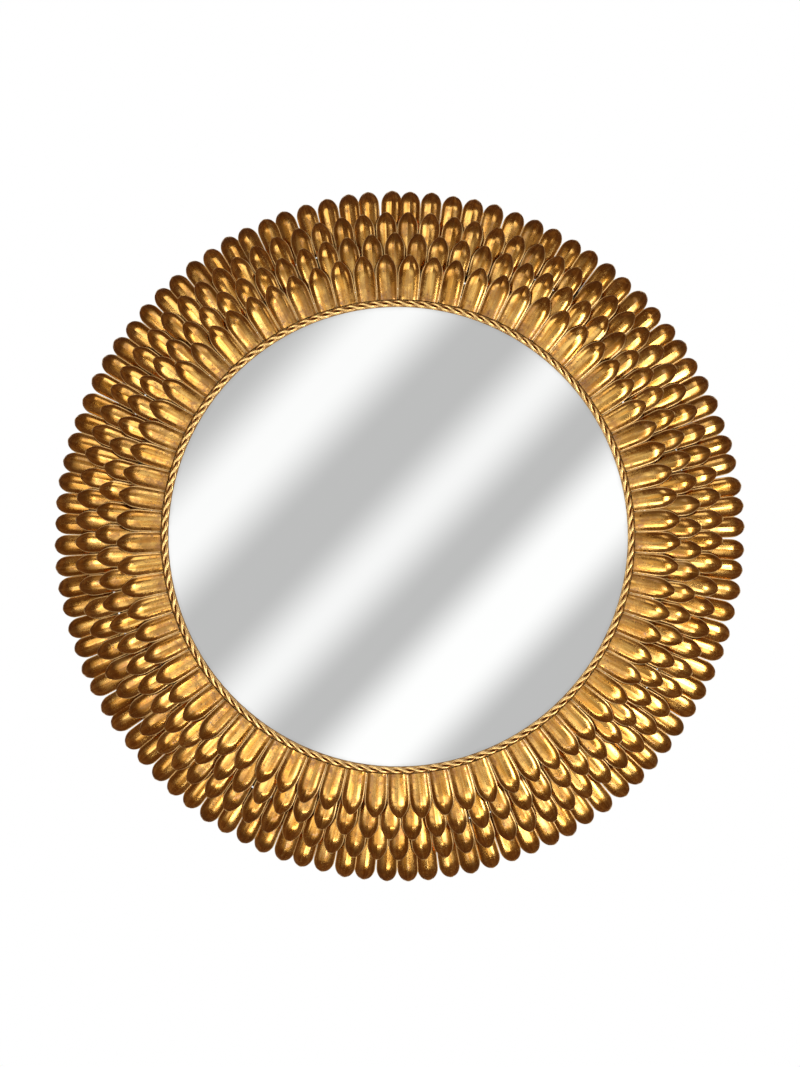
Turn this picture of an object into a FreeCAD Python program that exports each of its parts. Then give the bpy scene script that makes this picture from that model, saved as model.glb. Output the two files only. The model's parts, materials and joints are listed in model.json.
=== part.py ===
# Round wall mirror in a gilt metal frame of four overlapping tiers of curled sheet petals.
# A flat glass lies behind a bezel ring trimmed with a rope of two twisted wires. Behind the
# petals, four hoops carry their roots and eight ribs tie the hoops to the bezel ring and to
# a flat back ring, which holds the wall pads and the hanging ring.
#
# Millimetres. The finished part has X right and Z up, its front faces -Y, and its origin is
# the hinge line of the hanging ring. Pieces are modelled face up: X right, Y up the wall and
# Z forwards from the wall, with the centre of the glass on the Z axis. A height, here, is a
# distance forwards from the wall. Angles run anticlockwise from 3 o'clock, seen from the front.
import FreeCAD, Part
import math
import os
from dataclasses import dataclass

from FreeCAD import Placement, Rotation, Vector

os.makedirs("parts", exist_ok=True)

# --- Overall ---------------------------------------------------------------------------
glass_radius = 200.0
glass_thickness = 4.0
tip_height = 6.8                # tips of the outer petals above the wall

# --- Clearances ------------------------------------------------------------------------
seat_gap = 0.3                  # curved piece to the piece that carries it
tier_gap = 0.4                  # underside of a petal's pointed end to the tier below it
glass_gap = 0.5                 # glass edge to the bezel wall
board_gap = 0.5                 # board and packing edge inside the glass edge
strand_gap = 0.16               # between the two wires of the rope
rope_gap = 0.1                  # rope to the lip it lies on
hoop_gap = 1.0                  # rim of hoop 1 to the roots of tier 2
swivel_gap = 0.3                # turn button to board, flange, screw head and screw shank
ring_gap = 0.4                  # hanging ring wire in its knuckle, and to the strap plate

# --- Petals ----------------------------------------------------------------------------
sheet = 0.8                     # thickness of the petal sheet
arch_radius = 13.4              # roundness of a petal across its width
root_gap = 1.1                  # roots of tier 1 outside the bezel wall
first_step = 9.4                # roots of tier 1 to roots of tier 2
tier_step = 19.0                # roots to roots from then on
first_reach = 39.4              # root to tip in tier 1, seen from the front
petal_reach = 49.0              # root to tip in the other tiers
arch_spare = 0.6                # sheet beyond the petal outline before it is cut
past_tip = 3.0                  # angle of curled sheet beyond the tip before it is cut


@dataclass
class Tier:
    """One ring of petals. The fields from root on are worked out by lay_out_tiers."""

    count: int
    first_angle: float
    root_spacing: float             # between neighbours at their roots
    shoulder_spacing: float         # between neighbours where they are widest
    point_length: float             # pointed end, seen from the front
    tilt: float                     # slope of the straight part towards the wall
    curl_radius: float
    curl: float                     # angle of the curled end
    tip_rounding: float             # radius of the rounded tip, seen from the front
    root: float = 0.0
    tip: float = 0.0
    curl_start: float = 0.0
    crest: float = 0.0              # height of the middle line at the root
    drop: float = 0.0               # from there down to the tip
    root_width: float = 0.0
    full_width: float = 0.0
    hoop_outer: float = 0.0
    hoop_top_inner: float = 0.0
    hoop_top_outer: float = 0.0


tiers = [
    Tier(73, 3.7, 0.5, 0.6, 17.5, 6.0, 26.0, 42.0, 3.2),
    Tier(81, 1.9, 5.5, 0.8, 17.0, 8.0, 26.0, 45.0, 3.2),
    Tier(89, 3.2, 5.4, 0.7, 16.0, 12.0, 25.0, 48.0, 3.4),
    Tier(100, 1.5, 4.8, 0.5, 14.5, 16.0, 20.0, 60.0, 5.5),
]

# --- Rope and bezel --------------------------------------------------------------------
rope_twists = 60                # full turns of each wire round the other
strand_radius = 1.42            # wire
rope_drop = 1.0                 # rope centre below the root crest of tier 1
rope_joint = 0.3                # butt joint of each wire, at the bottom
lip_cover = 3.0                 # lip over the edge of the glass
lip_thickness = 1.5
bezel_wall = 2.0
flange_thickness = 2.0
flange_width = 6.5

# --- Glass backing ---------------------------------------------------------------------
packing_thickness = 1.5
packing_width = 14.0
board_thickness = 3.0
button_count = 4
button_width = 10.0
button_thickness = 1.2
button_reach = 16.0             # pivot to the inner end
button_overhang = 3.0           # outer end beyond the rim of the flange
button_screw_radius = 1.5
button_head_radius = 3.6
button_head_height = 1.8
slot_width = 0.8
slot_depth = 0.9

# --- Hoops, ribs and back ring ---------------------------------------------------------
hoop_width = 11.0
hoop_thickness = 2.0
rib_count = 8
rib_thickness = 3.0
rib_neck = 5.0                  # rib height where it leaves the flange
back_ring_width = 24.0
back_ring_thickness = 3.0
pad_count = 4
pad_radius = 10.0
pad_thickness = 7.5

# --- Hanger ----------------------------------------------------------------------------
ring_wire_radius = 1.5
ring_corner = 3.75              # bend of the wire beside the knuckle
ring_shoulder = 9.0             # straight sides of the ring, down from its hinge line
strap_sheet = 1.2
strap_width = 15.0
strap_end = 6.0                 # lower rivet to the end of the strap
hinge_above_ring = 4.0          # hinge line beyond the rim of the back ring
rivet_radius = 1.6
rivet_head_radius = 2.9
rivet_head_height = 1.0
rivet_spacing = 9.0

# --- Worked-out sizes ------------------------------------------------------------------
def slope(tier):
    """Direction of the straight part of a petal, and the direction square to its back."""
    angle = math.radians(tier.tilt)
    return Vector(math.cos(angle), 0, -math.sin(angle)), Vector(math.sin(angle), 0, math.cos(angle))


def arch_rise(half_width):
    """Height of the middle of a petal above its edges where it is this wide."""
    return arch_radius - math.sqrt(arch_radius ** 2 - half_width ** 2)


def bow_radius(tier):
    """Radius of each side of the pointed end before its tip is rounded."""
    return (tier.point_length ** 2 + (tier.full_width / 2) ** 2) / tier.full_width


def half_width_at(tier, radius):
    """Half width of a petal: widening evenly from the root, then following the pointed end."""
    shoulder = tier.tip - tier.point_length
    if radius < shoulder:
        share = (radius - tier.root) / (shoulder - tier.root)
        return (tier.root_width + (tier.full_width - tier.root_width) * share) / 2
    bow = bow_radius(tier)
    bowed = math.sqrt(bow ** 2 - (radius - shoulder) ** 2) - bow + tier.full_width / 2
    into_tip = max(radius - tier.tip + tier.tip_rounding, 0)
    rounded = math.sqrt(max(tier.tip_rounding ** 2 - into_tip ** 2, 0)) if into_tip else 0
    return max(bowed, rounded, 0)


def slope_at(tier, radius):
    """Slope of the middle line of a petal at a distance from the centre, in radians."""
    tilt = math.radians(tier.tilt)
    past = max(radius - tier.curl_start, 0)
    return math.asin(past / tier.curl_radius + math.sin(tilt))


def crest_at(tier, radius):
    """Height of the middle line of a petal at a distance from the centre."""
    tilt = math.radians(tier.tilt)
    straight = min(radius, tier.curl_start) - tier.root
    curled = tier.curl_radius * (math.cos(tilt) - math.cos(slope_at(tier, radius)))
    return tier.crest - straight * math.tan(tilt) - curled


def underside_at(tier, radius):
    """Height of the underside of a petal along its edges."""
    below = sheet + arch_rise(half_width_at(tier, radius))
    return crest_at(tier, radius) - below / math.cos(slope_at(tier, radius))


def lay_out_tiers(innermost):
    """Radii from the bezel outwards, then heights, each tier resting over the next one."""
    root = innermost
    for index, tier in enumerate(tiers):
        tilt = math.radians(tier.tilt)
        end = math.radians(tier.tilt + tier.curl)
        tier.root = root
        tier.tip = root + (petal_reach if index else first_reach)
        tier.curl_start = tier.tip - tier.curl_radius * (math.sin(end) - math.sin(tilt))
        shoulder = tier.tip - tier.point_length
        tier.root_width = 2 * math.pi * tier.root / tier.count - tier.root_spacing
        tier.full_width = 2 * math.pi * shoulder / tier.count - tier.shoulder_spacing
        tier.drop = -crest_at(tier, tier.tip)
        root += tier_step if index else first_step
    tiers[-1].crest = tip_height + tiers[-1].drop
    for upper, lower in zip(reversed(tiers[:-1]), reversed(tiers[1:])):
        stations = [upper.tip - upper.point_length * share for share in (0, 0.1, 0.25, 0.5, 1)]
        upper.crest = tier_gap + max(crest_at(lower, r) - underside_at(upper, r) for r in stations)


def lay_out_hoops():
    """Each hoop follows the underside of the petal edges from the roots outwards."""
    for index, tier in enumerate(tiers):
        room = hoop_width if index else first_step - hoop_gap
        tier.hoop_outer = tier.root + min(hoop_width, room)
        tier.hoop_top_inner = underside_at(tier, tier.root) - seat_gap
        tier.hoop_top_outer = underside_at(tier, tier.hoop_outer) - seat_gap


bezel_inner = glass_radius + glass_gap
bezel_outer = bezel_inner + bezel_wall
lay_out_tiers(bezel_outer + root_gap)
lay_out_hoops()

strand_offset = strand_radius + strand_gap / 2
rope_half = strand_offset + strand_radius
lip_inner = glass_radius - lip_cover
rope_radius = lip_inner + rope_half
rope_height = tiers[0].crest - rope_drop
lip_front = rope_height - rope_half - rope_gap
glass_front = lip_front - lip_thickness
packing_front = glass_front - glass_thickness
packing_outer = glass_radius - board_gap
board_front = packing_front - packing_thickness
board_rear = board_front - board_thickness
flange_front = board_rear + flange_thickness
flange_outer = bezel_outer + flange_width
button_pivot = (bezel_outer + flange_outer) / 2
button_rear = board_rear - swivel_gap - button_thickness
screw_head_front = button_rear - swivel_gap
back_ring_outer = tiers[-1].root
back_ring_inner = back_ring_outer - back_ring_width
back_ring_middle = (back_ring_inner + back_ring_outer) / 2
back_ring_front = pad_thickness + back_ring_thickness
knuckle_inner = ring_wire_radius + ring_gap
knuckle_outer = knuckle_inner + strap_sheet
hinge_y = back_ring_outer + hinge_above_ring
hinge_height = pad_thickness - knuckle_outer
strap_rear = pad_thickness - strap_sheet
rivet_places = [back_ring_middle - rivet_spacing / 2, back_ring_middle + rivet_spacing / 2]

face_up_to_wall = Placement(Vector(0, hinge_height, -hinge_y), Rotation(Vector(1, 0, 0), 90))


# --- Helpers ---------------------------------------------------------------------------
def write(name, shape):
    """Stand a piece that was modelled face up against the wall and write its file."""
    placed = shape.copy()
    placed.Placement = face_up_to_wall.multiply(placed.Placement)
    placed.exportStep("parts/" + name + ".step")


def prism(points, thickness, direction):
    """Straight-sided plate from its corners."""
    face = Part.Face(Part.makePolygon(points + points[:1]))
    return face.extrude(direction * thickness)


def tube(inner, outer, low, high):
    """Plain round ring between two heights."""
    base = Vector(0, 0, low)
    return Part.makeCylinder(outer, high - low, base).cut(Part.makeCylinder(inner, high - low, base))


def turned(profile):
    """Ring turned from corners given as distance from the centre and height."""
    corners = [Vector(radius, 0, height) for radius, height in profile]
    face = Part.Face(Part.makePolygon(corners + corners[:1]))
    return face.revolve(Vector(0, 0, 0), Vector(0, 0, 1), 360)


def at_angle(shape, degrees):
    """Copy of a piece made at 3 o'clock, moved round the glass."""
    copy = shape.copy()
    copy.rotate(Vector(0, 0, 0), Vector(0, 0, 1), degrees)
    return copy


# --- Petals ----------------------------------------------------------------------------
def arch_section(origin, up, half_width):
    """Crescent of sheet, square to the petal, with its crest at origin."""
    centre = origin - up * arch_radius
    inner_radius = arch_radius - sheet
    spread = math.asin((half_width + arch_spare) / inner_radius)

    def point(radius, angle):
        return centre + up * (radius * math.cos(angle)) + Vector(0, radius * math.sin(angle), 0)

    outer = [point(arch_radius, angle) for angle in (-spread, 0, spread)]
    inner = [point(inner_radius, angle) for angle in (spread, 0, -spread)]
    edges = [
        Part.Arc(*outer).toShape(),
        Part.makeLine(outer[2], inner[0]),
        Part.Arc(*inner).toShape(),
        Part.makeLine(inner[2], outer[0]),
    ]
    return Part.Face(Part.Wire(edges))


def petal_outline(tier):
    """Plan of a petal: straight root, widening sides and a pointed end with a rounded tip."""
    half_full = tier.full_width / 2
    bow = bow_radius(tier)
    # Each side of the pointed end is a bow whose centre is level with the shoulder. The tip
    # circle touches both bows from inside, and the shoulder moves out to keep the reach.
    to_tip_circle = math.sqrt((bow - tier.tip_rounding) ** 2 - (bow - half_full) ** 2)
    tip_centre = tier.tip - tier.tip_rounding
    shoulder = tip_centre - to_tip_circle
    touch = math.atan2(bow - half_full, to_tip_circle)
    halfway = (math.pi / 2 + touch) / 2

    def corner_points(side):
        bow_centre = Vector(shoulder, side * (half_full - bow), 0)
        on_bow = Vector(math.cos(halfway), side * math.sin(halfway), 0) * bow
        touching = Vector(math.cos(touch), side * math.sin(touch), 0) * tier.tip_rounding
        return (
            Vector(tier.root, side * tier.root_width / 2, 0),
            Vector(shoulder, side * half_full, 0),
            bow_centre + on_bow,
            Vector(tip_centre, 0, 0) + touching,
        )

    left_root, left_shoulder, left_bow, left_touch = corner_points(1)
    right_root, right_shoulder, right_bow, right_touch = corner_points(-1)
    edges = [
        Part.makeLine(right_root, right_shoulder),
        Part.Arc(right_shoulder, right_bow, right_touch).toShape(),
        Part.Arc(right_touch, Vector(tier.tip, 0, 0), left_touch).toShape(),
        Part.Arc(left_touch, left_bow, left_shoulder).toShape(),
        Part.makeLine(left_shoulder, left_root),
        Part.makeLine(left_root, right_root),
    ]
    return Part.Face(Part.Wire(edges))


def petal(tier):
    """Arched sheet that runs straight from its root and then curls towards the wall."""
    along, up = slope(tier)
    crest = Vector(tier.root, 0, tier.crest)
    start = crest - along * arch_radius
    bend = crest + along * ((tier.curl_start - tier.root) / along.x)
    straight = arch_section(start, up, tier.full_width / 2).extrude(bend - start)
    curl_axis = bend - up * tier.curl_radius
    section = arch_section(bend, up, tier.full_width / 2)
    curled = section.revolve(curl_axis, Vector(0, 1, 0), tier.curl + past_tip)
    blank = petal_outline(tier).extrude(Vector(0, 0, tier.crest + arch_radius))
    return straight.fuse(curled).common(blank).Solids[0]


def petal_ring(tier):
    """All petals of one tier, evenly spaced, each a solid of its own."""
    one = petal(tier)
    step = 360.0 / tier.count
    return Part.makeCompound([at_angle(one, tier.first_angle + step * i) for i in range(tier.count)])


def petal_hoop(tier):
    """Band of flat strip, coned to lie under the petal roots."""
    low_inner = tier.hoop_top_inner - hoop_thickness
    low_outer = tier.hoop_top_outer - hoop_thickness
    return turned([
        (tier.root, low_inner),
        (tier.hoop_outer, low_outer),
        (tier.hoop_outer, tier.hoop_top_outer),
        (tier.root, tier.hoop_top_inner),
    ])


# --- Rope ------------------------------------------------------------------------------
def strand_point(angle, phase):
    """Point on the centre line of one wire, and its direction there; angle in radians."""
    twist = phase - rope_twists * angle
    radius = rope_radius + strand_offset * math.cos(twist)
    radial = Vector(math.cos(angle), math.sin(angle), 0)
    tangential = Vector(-math.sin(angle), math.cos(angle), 0)
    turning = strand_offset * rope_twists
    point = radial * radius + Vector(0, 0, rope_height + strand_offset * math.sin(twist))
    heading = tangential * radius + radial * (turning * math.sin(twist))
    heading = heading - Vector(0, 0, turning * math.cos(twist))
    return point, heading.normalize()


def tangent_arc(start, heading, end):
    """Arc that leaves start along heading and ends at end."""
    chord = end - start
    across = chord - heading * chord.dot(heading)
    across.normalize()
    centre = start + across * (chord.dot(chord) / (2 * across.dot(chord)))
    radius = (start - centre).Length
    outward = (start - centre) + (end - centre)
    middle = centre + outward.normalize() * radius
    return Part.Arc(start, middle, end).toShape()


def biarc(start, heading, end, end_heading):
    """Two arcs that join two points and meet with a common direction."""
    chord = end - start
    both = heading + end_heading
    spread = 2 * (1 - heading.dot(end_heading))
    along = chord.dot(both)
    reach = (-along + math.sqrt(along ** 2 + spread * chord.dot(chord))) / spread
    joint = (start + end + (heading - end_heading) * reach) * 0.5
    last = tangent_arc(end, end_heading * -1, joint)
    return [tangent_arc(start, heading, joint), last]


def rope_strand(phase):
    """One wire of the rope, wound round the ring in quarter-turn steps from a butt joint."""
    steps = 4 * rope_twists
    first = -math.pi / 2 + rope_joint / rope_radius
    sweep = 2 * math.pi - 2 * rope_joint / rope_radius
    stations = [strand_point(first + sweep * i / steps, phase) for i in range(steps + 1)]
    edges = []
    for (start, heading), (end, end_heading) in zip(stations, stations[1:]):
        edges += biarc(start, heading, end, end_heading)
    path = Part.Wire(edges)
    start, heading = stations[0]
    section = Part.Wire(Part.makeCircle(strand_radius, start, heading))
    return path.makePipeShell([section], True, False)


# --- Bezel, glass and board ------------------------------------------------------------
def bezel_ring():
    """Lip over the edge of the glass, wall round it and rear flange, holed for the screws."""
    ring = turned([
        (lip_inner, glass_front),
        (bezel_inner, glass_front),
        (bezel_inner, board_rear),
        (flange_outer, board_rear),
        (flange_outer, flange_front),
        (bezel_outer, flange_front),
        (bezel_outer, lip_front),
        (lip_inner, lip_front),
    ])
    for index in range(button_count):
        hole = Part.makeCylinder(button_screw_radius, flange_thickness, Vector(button_pivot, 0, board_rear))
        ring = ring.cut(at_angle(hole, button_angle(index)))
    return ring


def button_angle(index):
    """Places of the turn buttons, from the top round."""
    return 90.0 + index * 360.0 / button_count


def turn_button():
    """Brass plate with round ends, pivoted on the flange and reaching in over the board."""
    half = button_width / 2
    inner = button_pivot - button_reach
    outer = flange_outer + button_overhang
    corners = [
        Vector(inner + half, -half, button_rear),
        Vector(outer - half, -half, button_rear),
        Vector(outer - half, half, button_rear),
        Vector(inner + half, half, button_rear),
    ]
    edges = [
        Part.makeLine(corners[0], corners[1]),
        Part.Arc(corners[1], Vector(outer, 0, button_rear), corners[2]).toShape(),
        Part.makeLine(corners[2], corners[3]),
        Part.Arc(corners[3], Vector(inner, 0, button_rear), corners[0]).toShape(),
    ]
    plate = Part.Face(Part.Wire(edges)).extrude(Vector(0, 0, button_thickness))
    pivot = Vector(button_pivot, 0, button_rear)
    return plate.cut(Part.makeCylinder(button_screw_radius + swivel_gap, button_thickness, pivot))


def button_screws():
    """Slotted pan-head screws on which the turn buttons swivel, one solid each."""
    head_back = Vector(button_pivot, 0, screw_head_front - button_head_height)
    head = Part.makeCylinder(button_head_radius, button_head_height, head_back)
    slot_corner = head_back - Vector(button_head_radius, slot_width / 2, 0)
    slot = Part.makeBox(2 * button_head_radius, slot_width, slot_depth, slot_corner)
    shank = Part.makeCylinder(button_screw_radius, flange_front - screw_head_front,
                              Vector(button_pivot, 0, screw_head_front))
    screw = head.cut(slot).fuse(shank)
    return Part.makeCompound([at_angle(screw, button_angle(i)) for i in range(button_count)])


# --- Carrier ---------------------------------------------------------------------------
def rib():
    """Flat bar on edge, stepped up under the hoops, from the bezel flange to the back ring."""
    under_hoop = hoop_thickness + seat_gap
    top = [(bezel_outer + seat_gap, tiers[0].hoop_top_inner - under_hoop)]
    for tier, outward in zip(tiers, tiers[1:] + [None]):
        top.append((tier.hoop_outer, tier.hoop_top_outer - under_hoop))
        if outward:
            top.append((tier.hoop_outer, outward.hoop_top_inner - under_hoop))
            top.append((outward.root, outward.hoop_top_inner - under_hoop))
    profile = top + [
        (back_ring_outer, back_ring_front),
        (back_ring_inner, back_ring_front),
        (flange_outer + seat_gap, flange_front - rib_neck),
        (flange_outer + seat_gap, flange_front),
        (bezel_outer + seat_gap, flange_front),
    ]
    corners = [Vector(radius, -rib_thickness / 2, height) for radius, height in profile]
    return prism(corners, rib_thickness, Vector(0, 1, 0))


def rib_angle(index):
    """Places of the ribs, clear of the turn buttons and the hanger."""
    return (index + 0.5) * 360.0 / rib_count


def back_ring():
    """Flat ring under the ribs, holed for the hanger rivets."""
    ring = tube(back_ring_inner, back_ring_outer, pad_thickness, back_ring_front)
    for y in rivet_places:
        ring = ring.cut(Part.makeCylinder(rivet_radius, back_ring_thickness, Vector(0, y, pad_thickness)))
    return ring


def wall_pad():
    """Rubber disc that stands the back ring off the wall."""
    return Part.makeCylinder(pad_radius, pad_thickness, Vector(back_ring_middle, 0, 0))


# --- Hanger ----------------------------------------------------------------------------
def hanger_strap():
    """Plate riveted to the back ring, rolled at its upper end round the hanging ring."""
    knuckle_end = Vector(-strap_width / 2, hinge_y, hinge_height)
    knuckle = Part.makeCylinder(knuckle_outer, strap_width, knuckle_end, Vector(1, 0, 0))
    bore = Part.makeCylinder(knuckle_inner, strap_width, knuckle_end, Vector(1, 0, 0))
    lower_end = rivet_places[0] - strap_end
    plate = Part.makeBox(strap_width, hinge_y - lower_end, strap_sheet,
                         Vector(-strap_width / 2, lower_end, strap_rear))
    strap = knuckle.fuse(plate).cut(bore)
    for y in rivet_places:
        strap = strap.cut(Part.makeCone(rivet_head_radius, rivet_radius, strap_sheet, Vector(0, y, strap_rear)))
    return strap


def hanger_rivets():
    """Rivets with heads sunk flush in the strap and closed on the front of the back ring."""
    rivets = []
    for y in rivet_places:
        sunk = Part.makeCone(rivet_head_radius, rivet_radius, strap_sheet, Vector(0, y, strap_rear))
        shank = Part.makeCylinder(rivet_radius, back_ring_thickness, Vector(0, y, pad_thickness))
        closed = Part.makeCylinder(rivet_head_radius, rivet_head_height, Vector(0, y, back_ring_front))
        rivets.append(sunk.fuse([shank, closed]))
    return Part.makeCompound(rivets)


def hanger_ring():
    """D-shaped wire ring, hanging down from its knuckle behind the strap plate."""
    def place(x, y):
        return Vector(x, hinge_y + y, hinge_height)

    half = strap_width / 2 + ring_gap
    side = half + ring_corner
    mid_corner = ring_corner * math.sqrt(0.5)
    bend = ring_corner - mid_corner
    edges = [
        Part.makeLine(place(-half, 0), place(half, 0)),
        Part.Arc(place(half, 0), place(side - bend, -bend), place(side, -ring_corner)).toShape(),
        Part.makeLine(place(side, -ring_corner), place(side, -ring_shoulder)),
        Part.Arc(place(side, -ring_shoulder), place(0, -ring_shoulder - side),
                 place(-side, -ring_shoulder)).toShape(),
        Part.makeLine(place(-side, -ring_shoulder), place(-side, -ring_corner)),
        Part.Arc(place(-side, -ring_corner), place(bend - side, -bend), place(-half, 0)).toShape(),
    ]
    section = Part.Wire(Part.makeCircle(ring_wire_radius, place(-half, 0), Vector(1, 0, 0)))
    return Part.Wire(edges).makePipeShell([section], True, False)


# --- Write every piece -----------------------------------------------------------------
write("mirror_glass", Part.makeCylinder(glass_radius, glass_thickness, Vector(0, 0, packing_front)))
write("glass_packing", tube(packing_outer - packing_width, packing_outer, board_front, packing_front))
write("backing_board", Part.makeCylinder(packing_outer, board_thickness, Vector(0, 0, board_rear)))
write("bezel_ring", bezel_ring())
write("rope_strand_a", rope_strand(0.0))
write("rope_strand_b", rope_strand(math.pi))
for number, tier in enumerate(tiers, 1):
    write("petals_tier_%d" % number, petal_ring(tier))
    write("petal_hoop_%d" % number, petal_hoop(tier))
for index in range(rib_count):
    write("rib_%d" % (index + 1), at_angle(rib(), rib_angle(index)))
write("back_ring", back_ring())
for index in range(pad_count):
    write("wall_pad_%d" % (index + 1), at_angle(wall_pad(), (index + 0.5) * 360.0 / pad_count))
for index in range(button_count):
    write("turn_button_%d" % (index + 1), at_angle(turn_button(), button_angle(index)))
write("turn_button_screws", button_screws())
write("hanger_strap", hanger_strap())
write("hanger_rivets", hanger_rivets())
write("hanger_ring", hanger_ring())

for number, tier in enumerate(tiers, 1):
    print("tier %d: root %.1f tip %.1f crest %.2f tip height %.2f" % (
        number, tier.root, tier.tip, tier.crest, tier.crest - tier.drop))
print("rope %.2f lip %.2f glass front %.2f board rear %.2f" % (rope_height, lip_front, glass_front, board_rear))
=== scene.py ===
"""Dresses the gilt petal wall mirror and sets it in a plain studio.

Metres. X is right and Z up; the front of the mirror faces -Y. Every piece is laid out on a
bench first, in millimetres: a distance from the middle of the glass, an angle anticlockwise
from 3 o'clock as seen from the front, and a height forwards from the wall.
"""

import json
import logging
import math
import random
from dataclasses import dataclass, field
from enum import Enum
from typing import Callable, Iterable, Optional, Sequence, Union

import bmesh
import bpy
from mathutils import Matrix, Vector

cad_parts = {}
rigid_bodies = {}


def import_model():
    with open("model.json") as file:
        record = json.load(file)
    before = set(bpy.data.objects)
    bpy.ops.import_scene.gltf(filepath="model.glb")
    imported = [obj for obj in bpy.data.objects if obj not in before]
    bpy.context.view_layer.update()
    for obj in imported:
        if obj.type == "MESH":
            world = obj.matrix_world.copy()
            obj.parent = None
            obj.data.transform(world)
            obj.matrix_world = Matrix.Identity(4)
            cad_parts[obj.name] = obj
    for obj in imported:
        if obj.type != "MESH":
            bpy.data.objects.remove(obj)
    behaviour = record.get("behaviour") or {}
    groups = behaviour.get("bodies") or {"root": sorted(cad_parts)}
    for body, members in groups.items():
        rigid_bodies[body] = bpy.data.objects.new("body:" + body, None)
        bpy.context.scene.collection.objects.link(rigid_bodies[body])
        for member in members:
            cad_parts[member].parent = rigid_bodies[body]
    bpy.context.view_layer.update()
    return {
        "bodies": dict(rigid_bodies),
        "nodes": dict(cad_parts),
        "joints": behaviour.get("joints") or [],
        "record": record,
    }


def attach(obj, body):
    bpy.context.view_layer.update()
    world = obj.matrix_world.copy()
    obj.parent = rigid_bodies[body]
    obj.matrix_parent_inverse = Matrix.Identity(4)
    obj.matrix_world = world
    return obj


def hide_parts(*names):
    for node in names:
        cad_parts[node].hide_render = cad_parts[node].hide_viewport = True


LOG = logging.getLogger("petal_mirror")

MM = 0.001
GLASS_MIDDLE_Z = -255.0
HINGE_HEIGHT = 4.4
UPRIGHT = Matrix.Rotation(math.radians(90), 4, "X")

Colour = tuple[float, float, float]
Value = Union[bpy.types.NodeSocket, float, Colour, Vector]
Sockets = bpy.types.bpy_prop_collection

WHITE: Colour = (1.0, 1.0, 1.0)


def on_wall(distance: float, angle: float, height: float) -> Vector:
    """Turns a bench place into a point on the wall.

    Args:
        distance: Millimetres from the middle of the glass.
        angle: Radians anticlockwise from 3 o'clock, seen from the front.
        height: Millimetres forwards from the wall.

    Returns:
        The point in metres.
    """
    across, up = distance * math.cos(angle), distance * math.sin(angle)
    return Vector((across, HINGE_HEIGHT - height, GLASS_MIDDLE_Z + up)) * MM


# --- Shader graphs ---------------------------------------------------------------------
class SharedGroup(Enum):
    """Effects that more than one finish uses."""

    TARNISH = "tarnish"
    PAINTED_RIM_HIGHLIGHT = "painted_rim_highlight"
    SCRATCHES = "scratches"
    DUST = "dust"


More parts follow.
